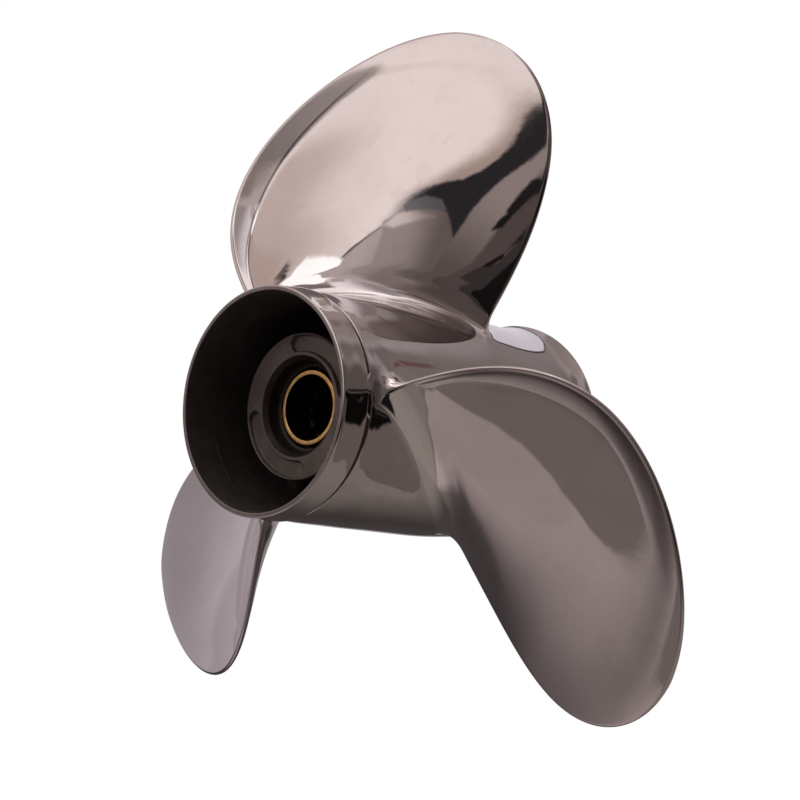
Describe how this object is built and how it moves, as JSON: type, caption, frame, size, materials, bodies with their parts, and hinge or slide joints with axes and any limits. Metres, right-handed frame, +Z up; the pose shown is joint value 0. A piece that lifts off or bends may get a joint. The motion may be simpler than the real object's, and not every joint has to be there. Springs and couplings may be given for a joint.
{
  "type": "outboard ship propeller",
  "caption": "Right-hand stainless steel propeller with swept cupped blades on a through-hub exhaust barrel, inner hub, rubber bushing and splined brass sleeve.",
  "frame": {"origin": "on the shaft axis, in the plane of the forward thrust face, the front end of the brass sleeve", "axes": "+Y forward along the shaft towards the boat, +Z up along the first blade, +X to the right seen from aft"},
  "size_m": [0.2567, 0.1307, 0.2451],
  "materials": {
    "polished_steel": "hand-polished stainless steel, mirror bright with soft waves, faint scratches and small pits at the blade roots",
    "cast_steel": "unpolished stainless casting, matt grey-brown, fine grain",
    "bushing_rubber": "matt black moulded rubber",
    "sleeve_brass": "turned brass, satin, slightly darkened in the bore"
  },
  "bodies": {
    "root": {"hub_barrel": "polished_steel", "aft_ring": "polished_steel", "blade_1": "polished_steel", "blade_2": "polished_steel", "blade_3": "polished_steel", "inner_hub": "cast_steel", "web_1": "cast_steel", "web_2": "cast_steel", "web_3": "cast_steel", "rubber_bushing": "bushing_rubber", "spline_sleeve": "sleeve_brass"}
  },
  "joints": []
}
